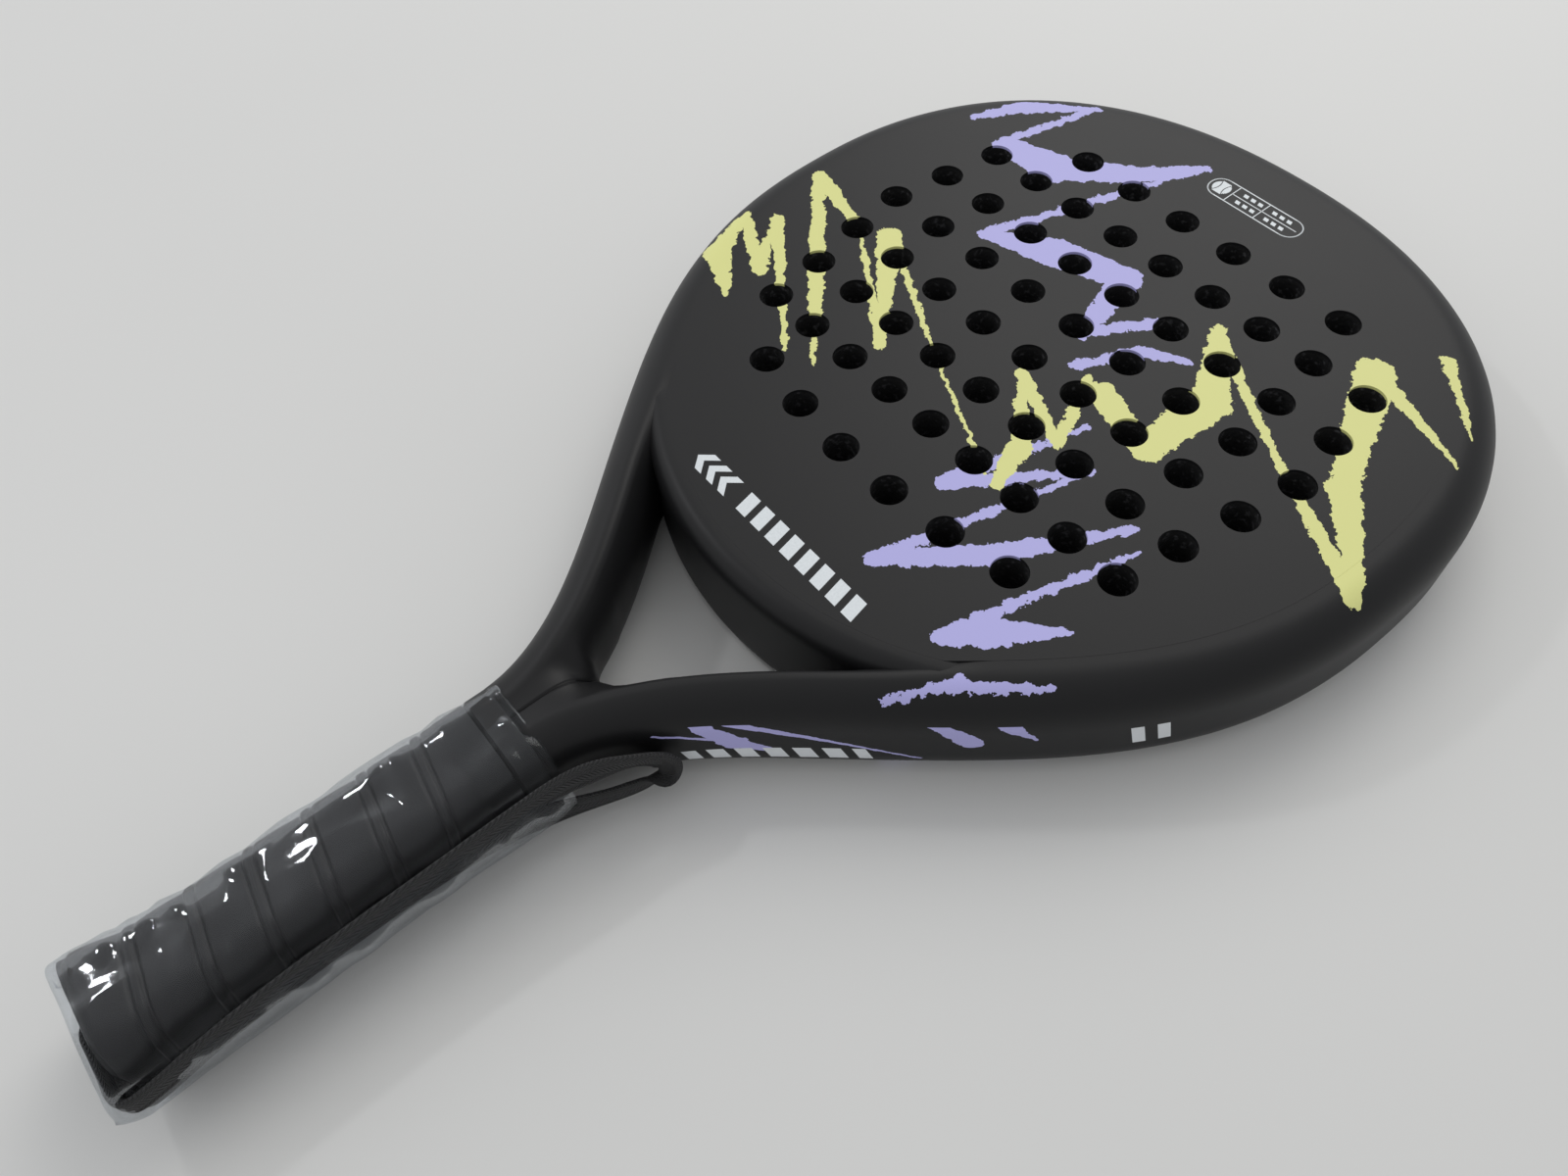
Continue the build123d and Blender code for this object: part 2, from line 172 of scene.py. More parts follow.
# %% The strap's line
cord_route = [
    (-0.2170, -0.0015, 0.0165), (-0.2236, -0.0015, 0.0165), (-0.2233, -0.0105, 0.0168),
    (-0.2237, -0.0208, 0.0170), (-0.2160, -0.0207, 0.0173), (-0.2020, -0.0188, 0.0177),
    (-0.1820, -0.0178, 0.0182), (-0.1580, -0.0175, 0.0184), (-0.1340, -0.0178, 0.0179),
    (-0.1160, -0.0186, 0.0152), (-0.1030, -0.0206, 0.0114), (-0.0920, -0.0236, 0.0084),
    (-0.0820, -0.0270, 0.0086), (-0.0755, -0.0296, 0.0126), (-0.0755, -0.0296, 0.0196),
    (-0.0820, -0.0272, 0.0242), (-0.0920, -0.0240, 0.0264), (-0.1030, -0.0218, 0.0274),
    (-0.1160, -0.0211, 0.0271), (-0.1340, -0.0208, 0.0259), (-0.1580, -0.0206, 0.0250),
    (-0.1820, -0.0208, 0.0246), (-0.2020, -0.0218, 0.0238), (-0.2160, -0.0233, 0.0226),
    (-0.2254, -0.0232, 0.0219), (-0.2250, -0.0105, 0.0216), (-0.2254, 0.0015, 0.0215),
    (-0.2170, 0.0015, 0.0215),
]
line_data = bpy.data.curves.new("strap_line", "CURVE")
line_data.dimensions = "3D"
line_data.resolution_u = 12
spline = line_data.splines.new("NURBS")
spline.points.add(len(cord_route) - 1)
for point, place in zip(spline.points, cord_route):
    point.co = (*place, 1.0)
spline.order_u = 3
spline.use_endpoint_u = True
line_object = bpy.data.objects.new("strap_line", line_data)
line_mesh = bpy.data.meshes.new_from_object(line_object)
strap_path = [vert.co.copy() for vert in line_mesh.vertices]
bpy.data.objects.remove(line_object)
bpy.data.meshes.remove(line_mesh)
strap_length = sum((b - a).length for a, b in zip(strap_path, strap_path[1:]))
print("strap length", round(strap_length, 4), "m in", len(strap_path), "points")

# %% [markdown]
# ## The racket's outline
# The head is a round curve and the arms run from it into the handle. The same two curves as in the
# solid model place the frame's surface here, so the piece stays on the solid that it stands for.

# %% The outline in mm
TIP, WIDEST, YOKE, APEX = 227.5, 109.5, -102.5, -76.5
MIDDLE = 19.0
BRIDGE_X, BRIDGE_RADIUS = 89.5, 122.0


def head_half(x):
    """Half width of the head past its widest line."""
    share = min(max((x - WIDEST) / (TIP - WIDEST), 0.0), 1.0)
    return 128.0 * (1 - share ** 2.2) ** (1 / 2.2)


def arm_half(x):
    """Half width over the arms, from the yoke to the widest line."""
    share = min(max((WIDEST - x) / (WIDEST - YOKE), 0.0), 1.0)
    return 17.0 + 111.0 * (1 - share ** 2.4) ** 2


def half_thickness(x):
    """Half the racket's thickness: full at the head, thinner at the yoke."""
    return mix(14.0, MIDDLE, smooth_step(YOKE - 25, -32.5, x))


def outline_points(count):
    """Points of the outline from yoke to tip, evenly spaced along it."""
    raw = []
    for step in range(400):
        x = mix(YOKE, WIDEST, step / 400)
        raw.append((x, arm_half(x)))
    for step in range(401):
        turn = math.pi / 2 * (1 - step / 400)
        x = WIDEST + (TIP - WIDEST) * math.cos(turn) ** (2 / 2.2)
        raw.append((x, 128.0 * math.sin(turn) ** (2 / 2.2)))
    runs = [0.0]
    for a, b in zip(raw, raw[1:]):
        runs.append(runs[-1] + math.dist(a, b))
    points, index = [], 0
    for step in range(count + 1):
        target = runs[-1] * step / count
        while index < len(raw) - 2 and runs[index + 1] < target:
            index += 1
        share = (target - runs[index]) / (runs[index + 1] - runs[index])
        (x0, y0), (x1, y1) = raw[index], raw[index + 1]
        points.append((mix(x0, x1, share), mix(y0, y1, share)))
    return points


STATIONS = 200
outline = outline_points(STATIONS)
print("outline from", outline[0], "to", outline[-1])


def inward(index):
    """Unit vector square to the outline, pointing in."""
    a = outline[max(index - 1, 0)]
    b = outline[min(index + 1, STATIONS)]
    run = Vector((b[0] - a[0], b[1] - a[1])).normalized()
    if index == 0:
        run = Vector((1.0, 0.0))
    if index == STATIONS:
        run = Vector((0.0, -1.0))
    return Vector((run.y, -run.x))


# %% [markdown]
# ## The frame
# The real frame is a carbon tube pressed in a mould, so nothing on it is sharp: the head's rim is a soft
# quarter round, and each arm has a ridge near its inner side, from which it falls away into the throat.
# It is one grid wrapped round the tube's section and mirrored, because a loft keeps those highlights clean.

# %% The frame's section at one place of the outline
TUBE = 16.6                  # width of an arm
RIM, ARM_RIM = 12.0, 11.3    # radius of the outer round, on the head and on the arms
HEAD_REACH = 24.0            # how far the head's rim reaches in under the skin
SKIN_GAP = 0.05              # the rim stays this far below the skin
YOKE_FROM = -60.0            # nearer the grip, the inner side follows the throat and the yoke
WALL, RIDGE, ROUND = 0.12, 0.52, 0.86    # where the inner wall, the slope and the outer round end
WALL_RISE = 0.24             # height of an arm's inner wall, as a share of half its thickness
ACROSS = 56


def throat_half(x):
    """Half the throat's width at mid thickness, with a rounded end at the yoke."""
    slope = arm_half(x + 0.5) - arm_half(x - 0.5)
    width = arm_half(x) - TUBE * math.hypot(1, slope)
    nose = min(max((x - APEX) / 6.5, 0.0), 1.0)
    return width * math.sqrt(1 - (1 - nose) ** 2)


def valley_depth(x):
    """How far the yoke's middle lies below its face: shallow at first, then down into the throat."""
    return mix(0.6, MIDDLE, smooth_step(-104.0, -74.0, x) ** 3.0)


def section_point(index, v):
    """Point of the frame's section: v runs from the inner side over the front, round, and back."""
    x, y = outline[index]
    square = inward(index)
    front = v < 0.5
    w = v * 2 if front else (1 - v) * 2          # 0 at the inner side, 1 at the outermost line
    half = half_thickness(x)
    arm = 1 - smooth_step(-40.0, -4.0, x)        # 1 on the arms, 0 on the head
    rim = mix(RIM, ARM_RIM, arm)
    width = TUBE
    closed = 0.0                                 # 1 where the two arms have met
    inner = Vector((x, y)) + square * width
    if inner.x < YOKE_FROM:
        inner = Vector((inner.x, throat_half(inner.x) if inner.x > APEX else 0.0))
        width = (inner - Vector((x, y))).length
        closed = 1 - smooth_step(-84.0, -73.0, inner.x)
        square = (inner - Vector((x, y))) / width
    if w < RIDGE:
        up_wall = min(w / WALL, 1.0)
        across = min(1 - (w - WALL) / (RIDGE - WALL), 1.0)
        slope = 1 - (1 - WALL_RISE) * across
        sunk = min(valley_depth(x) / half, 1.0)
        open_depth = rim + (width - rim) * (1 - slope ** 2.6 * up_wall ** 2)
        closed_depth = rim + (width - rim) * across
        closed_rise = (1 - sunk * (1 - (1 - across) ** 2)) * up_wall
        arm_rise = mix(slope * up_wall, closed_rise, closed) * half
        depth = mix(mix(HEAD_REACH, rim, 1 - across), mix(open_depth, closed_depth, closed), arm)
        rise = mix((half - SKIN_GAP) * up_wall, arm_rise, arm)
    elif w < ROUND:
        turn = (w - RIDGE) / (ROUND - RIDGE) * math.pi / 2
        depth = rim * (1 - math.sin(turn))
        rise = half - rim * (1 - math.cos(turn)) - SKIN_GAP * (1 - arm) * (1 - math.sin(turn))
    else:
        depth = 0.0
        rise = (half - rim) * (1 - (w - ROUND) / (1 - ROUND))
    place = Vector((x, y)) + square * depth
    return (place.x, max(place.y, 0.0), MIDDLE + (rise if front else -rise))


# %% [markdown]
# The tip's last section and the two centre-line edges lie on the mirror plane, so the mirror welds them.

# %% The whole frame
def make_frame():
    """Half the frame from a wrapped grid, then its mirror image."""
    def place(u, v):
        return section_point(round(u * STATIONS), v)
    half = placed_grid("frame", STATIONS, ACROSS, place, fill_ends=False)
    bmesh.ops.mirror(half, geom=half.verts[:] + half.edges[:] + half.faces[:], axis="Y", merge_dist=2e-6)
    bmesh.ops.remove_doubles(half, verts=half.verts, dist=2e-6)
    rims = [edge for edge in half.edges if edge.is_boundary]
    bmesh.ops.holes_fill(half, edges=rims, sides=0)
    bmesh.ops.recalc_face_normals(half, faces=half.faces)
    return half


# %% [markdown]
# ## The bridge
# Between the head and the throat the frame closes with a bridge: an upright wall with a rounded lip.
# Its ends run into the arms, and there the lip sinks a little so that it ends under their surface.

# %% The bridge between the arms
def make_bridge():
    """A wrapped grid along the bridge's arc."""
    reach, sinks_from = math.radians(36.5), math.radians(33.0)
    lip, depth, half, end_sink = 6.0, 17.0, 18.97, 0.7

    def place(u, v):
        angle = (u - 0.5) * 2 * reach
        front = v < 0.5
        w = v * 2 if front else (1 - v) * 2
        if w < 0.2:
            inset, rise = depth, half * w / 0.2
        elif w < 0.45:
            inset, rise = mix(depth, lip, (w - 0.2) / 0.25), half
        elif w < 0.85:
            turn = (w - 0.45) / 0.4 * math.pi / 2
            inset, rise = lip * (1 - math.sin(turn)), half - lip * (1 - math.cos(turn))
        else:
            inset, rise = 0.0, (half - lip) * (1 - (w - 0.85) / 0.15)
        rise -= end_sink * smooth_step(sinks_from, reach, abs(angle)) * min(rise / half, 1.0)
        radius = BRIDGE_RADIUS - inset
        height = MIDDLE + (rise if front else -rise)
        return (BRIDGE_X - radius * math.cos(angle), radius * math.sin(angle), height)
    return placed_grid("bridge", 90, 44, place)


# %% [markdown]
# ## Matt lacquer with a brushed print
# The racket is lacquered carbon and glass cloth with a water-slide print under a matt clear coat: a dark
# charcoal with a broad soft highlight and very fine orange peel. The print is brush strokes, so each one is a
# tapering line, and the distance to the nearest line, roughened by noise, gives its ragged edge.
# The strokes are a plain zigzag and plain slanted bars, with no lettering.

# %% Where the strokes run
# Each entry: start x, start y, end x, end y, half width at the start and at the end.
# They are in print units, measured from the middle row of holes.
PRINT_UNIT = 0.00562
PRINT_X, PRINT_Y = 0.0895, 0.0008
yellow_strokes = [
    (-9.5, 15.3, -7.6, 18.8, 0.25, 0.9), (-7.6, 18.8, -4.2, 20.2, 0.9, 0.3),
    (-4.4, 20.0, -6.8, 15.6, 0.3, 0.5), (-6.8, 15.6, -3.0, 18.8, 0.45, 0.1),
    (-3.2, 18.4, -9.8, 9.4, 0.45, 0.15), (-9.4, 7.4, -3.8, 13.8, 0.1, 0.6),
    (-4.0, 13.6, 1.5, 20.0, 0.5, 0.4), (1.4, 19.8, 0.2, 14.6, 0.55, 0.35),
    (0.2, 14.6, -5.6, 6.0, 0.1, 0.35), (-5.5, 6.0, 0.9, 12.6, 0.2, 0.8), (0.6, 11.6, -3.2, 4.6, 0.3, 0.12),
    (-3.2, 4.6, -7.6, -4.4, 0.1, 0.12), (-7.8, -5.4, -5.0, -4.4, 0.3, 0.7),
    (-5.0, -4.4, -1.0, -0.6, 0.6, 0.2), (-1.2, -0.8, -3.4, -5.6, 0.4, 0.3),
    (-3.4, -5.6, 1.2, -3.4, 0.35, 0.35), (1.0, -4.6, -0.4, -8.8, 0.8, 0.7),
    (-0.2, -8.8, 4.8, -8.8, 0.9, 1.2), (4.8, -8.8, 9.4, -5.6, 1.1, 0.4), (9.2, -5.6, 4.4, -13.4, 0.4, 0.2),
    (4.4, -13.4, 0.2, -21.4, 0.2, 0.5), (0.4, -21.4, 5.2, -17.0, 0.3, 0.9),
    (5.2, -17.0, 13.0, -13.2, 0.7, 1.1), (13.2, -12.8, 10.6, -20.0, 0.6, 0.1),
    (16.6, -15.2, 12.8, -19.2, 0.4, 0.1),
]
lavender_strokes = [
    (12.8, 17.7, 16.0, 16.2, 0.15, 0.6), (16.0, 16.2, 19.3, 12.8, 0.6, 0.15),
    (19.2, 12.9, 12.0, 14.6, 0.1, 0.3), (12.3, 14.2, 12.8, 10.6, 0.7, 1.4),
    (12.8, 10.6, 15.8, 6.8, 1.1, 0.8), (15.8, 6.8, 19.8, 4.0, 0.7, 0.2), (19.6, 4.2, 5.2, 9.0, 0.1, 0.3),
    (5.4, 8.8, 7.2, 5.0, 0.3, 1.2), (7.2, 5.0, 8.6, 0.8, 1.1, 0.9), (8.6, 0.6, 3.4, -0.8, 0.9, 0.3),
    (3.4, -0.6, 7.2, -3.0, 0.3, 0.3), (1.4, -2.2, 5.0, -4.0, 0.2, 0.4), (5.0, -4.0, 6.2, -6.2, 0.4, 0.1),
    (-1.4, -5.8, -9.6, -3.5, 0.08, 0.35), (-9.6, -3.6, -3.4, -8.0, 0.4, 0.2),
    (-3.4, -8.0, -15.6, -4.8, 0.08, 0.3), (-15.6, -4.8, -11.0, -8.4, 0.35, 0.6),
    (-11.0, -8.4, -4.4, -12.0, 0.5, 0.1), (-5.4, -13.0, -16.2, -10.2, 0.08, 0.3),
    (-16.2, -10.4, -14.0, -11.8, 0.3, 0.8), (-14.0, -11.8, -11.4, -14.0, 0.7, 0.12),
    (-20.4, -11.0, -17.0, -12.6, 0.05, 0.2), (-18.0, -12.2, -14.0, -15.6, 0.2, 0.05),
]
# On the near side wall the second number is the height.
side_strokes = [
    (-29.4, -2.1, -27.0, -3.0, 0.08, 0.12), (-27.6, -1.5, -26.2, -3.4, 0.35, 0.6),
    (-26.2, -3.4, -24.6, -4.4, 0.5, 0.1), (-26.4, -1.5, -22.8, -3.2, 0.25, 0.12),
    (-22.8, -3.2, -19.4, -4.9, 0.1, 0.05), (-19.0, -1.4, -17.6, -3.2, 0.3, 0.5),
    (-16.4, -1.6, -15.2, -3.0, 0.4, 0.1),
]
print(len(yellow_strokes) + len(lavender_strokes), "brush strokes on the face")


# %% Distance to a list of strokes, in shader nodes
def stroke_field(material, point, strokes):
    """Distance in print units from the point to the nearest stroke's edge."""
    nearest = None
    for ax, ay, bx, by, wide_a, wide_b in strokes:
        run = Vector((bx - ax, by - ay, 0))
        away = add(material, "VectorMath", {"operation": "SUBTRACT"}, i0=point, i1=(ax, ay, 0))
        along = add(material, "VectorMath", {"operation": "DOT_PRODUCT"}, i0=away.outputs[0],
                    i1=tuple(run / run.length_squared))
        share = add(material, "Clamp", Value=along.outputs["Value"])
        foot = add(material, "VectorMath", {"operation": "MULTIPLY_ADD"}, i0=share.outputs[0],
                   i1=tuple(-run), i2=away.outputs[0])
        gap = add(material, "VectorMath", {"operation": "LENGTH"}, i0=foot.outputs[0])
        taper = math_node(material, "MULTIPLY_ADD", share.outputs[0], wide_a - wide_b, -wide_a)
        edge = math_node(material, "ADD", gap.outputs["Value"], taper)
        nearest = edge if nearest is None else math_node(material, "MINIMUM", nearest, edge)
    return nearest


# %% Ink where a stroke is
def after(material, result, point):
    """The same point with a trace of an earlier result in it, so that the shader works that one out first."""
    return add(material, "VectorMath", {"operation": "MULTIPLY_ADD"}, i0=result, i1=(1e-7, 1e-7, 1e-7),
               i2=point).outputs[0]


def stroke_mask(material, point, strokes, spread=0.0):
    """1 inside the strokes. A shader holds few values at once, so they are taken ten at a time, in turn."""
    mask = 0.0
    for start in range(0, len(strokes), 10):
        if start:
            point = after(material, mask, point)
        field = stroke_field(material, point, strokes[start:start + 10])
        mask = math_node(material, "MAXIMUM", math_node(material, "LESS_THAN", field, spread), mask)
    return mask


# %% The lacquer
def make_lacquer(name, yellows, lavenders, sides):
    """Matt charcoal lacquer with the strokes that reach this piece."""
    material = finish_material(name)
    place = add(material, "TexCoord").outputs["Object"]
    in_units = add(material, "Mapping", {"vector_type": "POINT"}, Vector=place, Scale=(1 / PRINT_UNIT,) * 3,
                   Location=(-PRINT_X / PRINT_UNIT, -PRINT_Y / PRINT_UNIT, 0)).outputs[0]
    rough_edge = add(material, "TexNoise", Vector=in_units, Scale=1.6, Detail=3.0, Roughness=0.65)
    centred = add(material, "VectorMath", {"operation": "SUBTRACT"}, i0=rough_edge.outputs["Color"],
                  i1=(0.5, 0.5, 0.5))
    pushed = add(material, "VectorMath", {"operation": "MULTIPLY_ADD"}, i0=centred.outputs[0],
                 i1=(0.6, 1.1, 0.0), i2=in_units).outputs[0]
    parts = add(material, "SeparateXYZ", Vector=place)
    y, z = parts.outputs[1], parts.outputs[2]
    flat_point = add(material, "VectorMath", {"operation": "MULTIPLY"}, i0=pushed, i1=(1, 1, 0)).outputs[0]
    from_middle = math_node(material, "ABSOLUTE", math_node(material, "SUBTRACT", z, MIDDLE / 1000))
    on_face = math_node(material, "GREATER_THAN", from_middle, 0.0095)
    yellow = math_node(material, "MULTIPLY", on_face, stroke_mask(material, flat_point, yellows))
    flat_point = after(material, yellow, flat_point)
    lavender = math_node(material, "MULTIPLY", on_face, stroke_mask(material, flat_point, lavenders, 0.09))
    cloud = add(material, "TexNoise", Vector=place, Scale=14.0, Detail=4.0)
    base = add(material, "MixRGB", Fac=cloud.outputs[0], Color1=colour("151516"), Color2=colour("1b1b1c"))
    white = None
    if sides:
        # The side print lies on the wall that faces the near side, below the face.
        facing = add(material, "SeparateXYZ", Vector=add(material, "TexCoord").outputs["Normal"])
        near_side = math_node(material, "MULTIPLY", math_node(material, "LESS_THAN", y, -0.01),
                              math_node(material, "LESS_THAN", facing.outputs[1], -0.35))
        on_side = math_node(material, "MULTIPLY", math_node(material, "SUBTRACT", 1.0, on_face), near_side)
        height = math_node(material, "MULTIPLY", math_node(material, "SUBTRACT", z, 2 * MIDDLE / 1000),
                           1 / PRINT_UNIT)
        along = add(material, "SeparateXYZ", Vector=pushed).outputs[0]
        side_point = add(material, "CombineXYZ", X=along, Y=height).outputs[0]
        side = math_node(material, "MULTIPLY", on_side, stroke_mask(material, side_point, sides))
        lavender = math_node(material, "MAXIMUM", lavender, side)
        crisp = add(material, "SeparateXYZ", Vector=in_units).outputs[0]
        long_row = bars(material, height, crisp, on_side, (-5.2, -4.0), (-29.6, -22.6), 1.1, 0.7, 0.3)
        short_row = bars(material, height, crisp, on_side, (-4.2, -2.6), (-12.6, -10.4), 1.1, 0.55, 0.2)
        white = math_node(material, "MAXIMUM", long_row, short_row)
    painted = base.outputs[0]
    for ink, hex_code in ((lavender, "b3b0e4"), (yellow, "dcdd92"), (white, "dfe3e6")):
        if ink is not None:
            painted = add(material, "MixRGB", Fac=ink, Color1=painted, Color2=colour(hex_code)).outputs[0]
    # Orange peel about 0.6 mm across, drawn coarser than the real grain so that it shows.
    peel = add(material, "TexNoise", Vector=place, Scale=1 / 0.0006, Detail=2.0)
    bump = add(material, "Bump", Height=peel.outputs[0], Strength=0.05, Distance=0.0002)
    rub = add(material, "MapRange", Value=cloud.outputs[0], i3=0.40, i4=0.48)
    shader = add(material, "BsdfPrincipled", Base_Color=painted, Roughness=rub.outputs[0],
                 Normal=bump.outputs[0], IOR=1.5, Specular_IOR_Level=0.25)
    return end_material(material, shader)


# %% [markdown]
# A row of slanted bars stands where a maker's lettering would be: a band cut into even pieces by a remainder.

# %% Slanted bars on the side
def within(material, value, low, high):
    """1 where the value lies between low and high."""
    above = math_node(material, "GREATER_THAN", value, low)
    return math_node(material, "MULTIPLY", above, math_node(material, "LESS_THAN", value, high))


def bars(material, across, along, where, across_range, along_range, pitch, width, slant):
    """A row of slanted bars in a band."""
    leaned = math_node(material, "MULTIPLY_ADD", across, slant, along)
    repeat = math_node(material, "FLOORED_MODULO", leaned, pitch)
    bar = math_node(material, "LESS_THAN", repeat, width)
    band = math_node(material, "MULTIPLY", within(material, across, *across_range),
                     within(material, leaned, *along_range))
    return math_node(material, "MULTIPLY", math_node(material, "MULTIPLY", bar, band), where)


# %% [markdown]
# Each piece gets only the strokes that reach it, which keeps its shader small.

# %% Lacquered pieces
def near_rim(strokes):
    """The strokes that come within the rim's width of the outline."""
    kept = []
    for stroke in strokes:
        for along, across in (stroke[0:2], stroke[2:4]):
            x = (PRINT_X + PRINT_UNIT * along) * 1000
            y = abs(PRINT_UNIT * across + PRINT_Y) * 1000
            if y > (head_half(x) if x > WIDEST else arm_half(x)) - 22:
                kept.append(stroke)
                break
    return kept


def refinish(name, material):
    """Gives a solid of the model its finish."""
    nodes[name].data.materials.clear()
    nodes[name].data.materials.append(material)


face_lacquer = make_lacquer("matt_face_lacquer", yellow_strokes, lavender_strokes, [])
rim_lacquer = make_lacquer("matt_rim_lacquer", near_rim(yellow_strokes), near_rim(lavender_strokes),
                           side_strokes)
bridge_lacquer = make_lacquer("matt_bridge_lacquer", [], [], [])
print("face lacquer nodes", len(face_lacquer.node_tree.nodes), "rim", len(rim_lacquer.node_tree.nodes))
for name in ("front_face_skin", "back_face_skin"):
    refinish(name, face_lacquer)
frame_piece = finished_piece(make_frame(), "moulded_frame", "root", rim_lacquer)
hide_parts("frame_tube", "throat_filler")
bridge_piece = finished_piece(make_bridge(), "throat_bridge", "root", bridge_lacquer)
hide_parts("bridge_shell")

# %% [markdown]
# ## White marks on the faces
# The white marks are screen printed, so they are a film of ink a few hundredths of a millimetre high. Thin
# raised shapes give crisp edges at any distance: chevrons, a row of slanted bars, and a label with a ball.

# %% Ink shapes
INK = 0.04
LABEL_X, BALL_Y, BALL_RADIUS = 196.3, 13.6, 3.3


def add_quad(shape, corners):
    """A flat four-sided patch of ink, in mm, raised to its thickness."""
    verts = [shape.verts.new((x / 1000, y / 1000, 2 * MIDDLE / 1000)) for x, y in corners]
    face = shape.faces.new(verts)
    raised = bmesh.ops.extrude_face_region(shape, geom=[face])
    tops = [part for part in raised["geom"] if isinstance(part, bmesh.types.BMVert)]
    bmesh.ops.translate(shape, verts=tops, vec=(0, 0, INK / 1000))


def add_line(shape, points, width, closed=False):
    """A line of ink through the points."""
    following = points[1:] + points[:1] if closed else points[1:]
    for a, b in zip(points, following):
        run = (Vector(b) - Vector(a)).normalized()
        side = Vector((-run.y, run.x)) * width / 2
        a, b = Vector(a) - run * width * 0.2, Vector(b) + run * width * 0.2
        add_quad(shape, [tuple(a - side), tuple(b - side), tuple(b + side), tuple(a + side)])


def ring(centre_x, centre_y, half_x, half_y, radius, steps=10):
    """Points round a rounded rectangle."""
    points = []
    for corner, (sx, sy) in enumerate(((1, 1), (-1, 1), (-1, -1), (1, -1))):
        for step in range(steps + 1):
            turn = math.pi / 2 * (corner + step / steps)
            points.append((centre_x + sx * (half_x - radius) + radius * math.cos(turn),
                           centre_y + sy * (half_y - radius) + radius * math.sin(turn)))
    return points


def add_ball(shape):
    """The label's ball: upright slices half a millimetre wide, parted by two bowed seams."""
    for number in range(-6, 7):
        across = number * 0.5
        reach = math.sqrt(max(BALL_RADIUS ** 2 - across ** 2, 0.0))
        bow = 0.09 * across ** 2
        left, right = LABEL_X + across - 0.25, LABEL_X + across + 0.25
        for low, high in ((-reach, -1.3 - bow), (-0.95 - bow, 0.95 + bow), (1.3 + bow, reach)):
            if high - low > 0.1:
                low, high = BALL_Y + low, BALL_Y + high
                add_quad(shape, [(left, low), (right, low), (right, high), (left, high)])


def make_white_marks():
    """Chevrons, slanted bars and label on the front face."""
    shape = bmesh.new()
    for low in (19.0, 24.6, 30.2):
        for outer in (-16.4, -8.8):
            add_quad(shape, [(outer, low), (-12.6, low + 3.4), (-12.6, low + 6.4), (outer, low + 3.0)])
    for number in range(8):
        y = 13.2 - number * 6.7
        add_quad(shape, [(-16.4, y), (-16.4, y - 4.3), (-9.2, y - 2.8), (-9.2, y + 1.5)])
    add_line(shape, ring(LABEL_X, -0.5, 4.9, 18.6, 4.6), 0.45, closed=True)
    add_line(shape, [(LABEL_X, -17.5), (LABEL_X, 8.6)], 0.35)
    for y in (-3.4, 9.0):
        add_line(shape, [(LABEL_X - 4.5, y), (LABEL_X + 4.5, y)], 0.35)
    for x in (194.0, 198.6):
        for y in (5.6, 2.6, -0.4, -6.4, -9.4, -12.4):
            add_quad(shape, [(x - 0.8, y), (x - 0.8, y - 1.8), (x + 0.8, y - 1.4), (x + 0.8, y + 0.4)])
    add_ball(shape)
    bmesh.ops.recalc_face_normals(shape, faces=shape.faces)
    return shape


def make_ink():
    """Screen ink: a chalky white with a faint grain."""
    material = finish_material("white_screen_ink")
    place = add(material, "TexCoord").outputs["Object"]
    grain = add(material, "TexNoise", Vector=place, Scale=1500.0, Detail=2.0)
    shade = add(material, "MixRGB", Fac=grain.outputs[0], Color1=colour("cdd3d6"), Color2=colour("e6ebee"))
    bump = add(material, "Bump", Height=grain.outputs[0], Strength=0.1, Distance=0.00005)
    shader = add(material, "BsdfPrincipled", Base_Color=shade.outputs[0], Roughness=0.5,
                 Normal=bump.outputs[0])
    return end_material(material, shader)


marks_piece = finished_piece(make_white_marks(), "white_printed_marks", "root", make_ink())
for polygon in marks_piece.data.polygons:
    polygon.use_smooth = False

# %% [markdown]
# ## The foam in the holes
# Each hole shows the cut foam of the core: black, open pored and speckled where the drill tore it.
# A cell pattern about a millimetre across, in colour and in bump, gives that crumbly wall.

# %% The foam core
def make_foam(name, dark, pale, pore):
    """Cut closed-cell foam with pores of this size in metres."""
    material = finish_material(name)
    place = add(material, "TexCoord").outputs["Object"]
    cells = add(material, "TexVoronoi", Vector=place, Scale=1 / pore)
    grains = add(material, "TexNoise", Vector=place, Scale=0.6 / pore, Detail=3.0)
    speck = add(material, "MapRange", Value=grains.outputs[0], i1=0.56, i2=0.72)
    shade = add(material, "MixRGB", Fac=speck.outputs[0], Color1=colour(dark), Color2=colour(pale))
    bump = add(material, "Bump", Height=cells.outputs["Distance"], Strength=0.7, Distance=0.0004)
    shader = add(material, "BsdfPrincipled", Base_Color=shade.outputs[0], Roughness=0.85,
                 Normal=bump.outputs[0])
    return end_material(material, shader)


refinish("foam_core", make_foam("cut_eva_foam", "0d0d0e", "4a4a4c", 0.0011))
filler = make_foam("rigid_filler_foam", "8d8673", "b8b09a", 0.0008)
for name in ("bridge_foam", "throat_filler", "stem_filler"):
    refinish(name, filler)
pallet = make_foam("moulded_pallet_foam", "19191a", "2e2e30", 0.0007)
for name in ("handle_pallet_front", "handle_pallet_back", "grip_cushion"):
    refinish(name, pallet)

# %% [markdown]
# ## Plastic, rubber and wire
# The butt cap is injection moulded with a fine spark texture, the collar is a rubber ring with a dull bloom,
# and the tacks are plated wire. Hidden pieces get their finish too, since the wrapping can be pulled off.

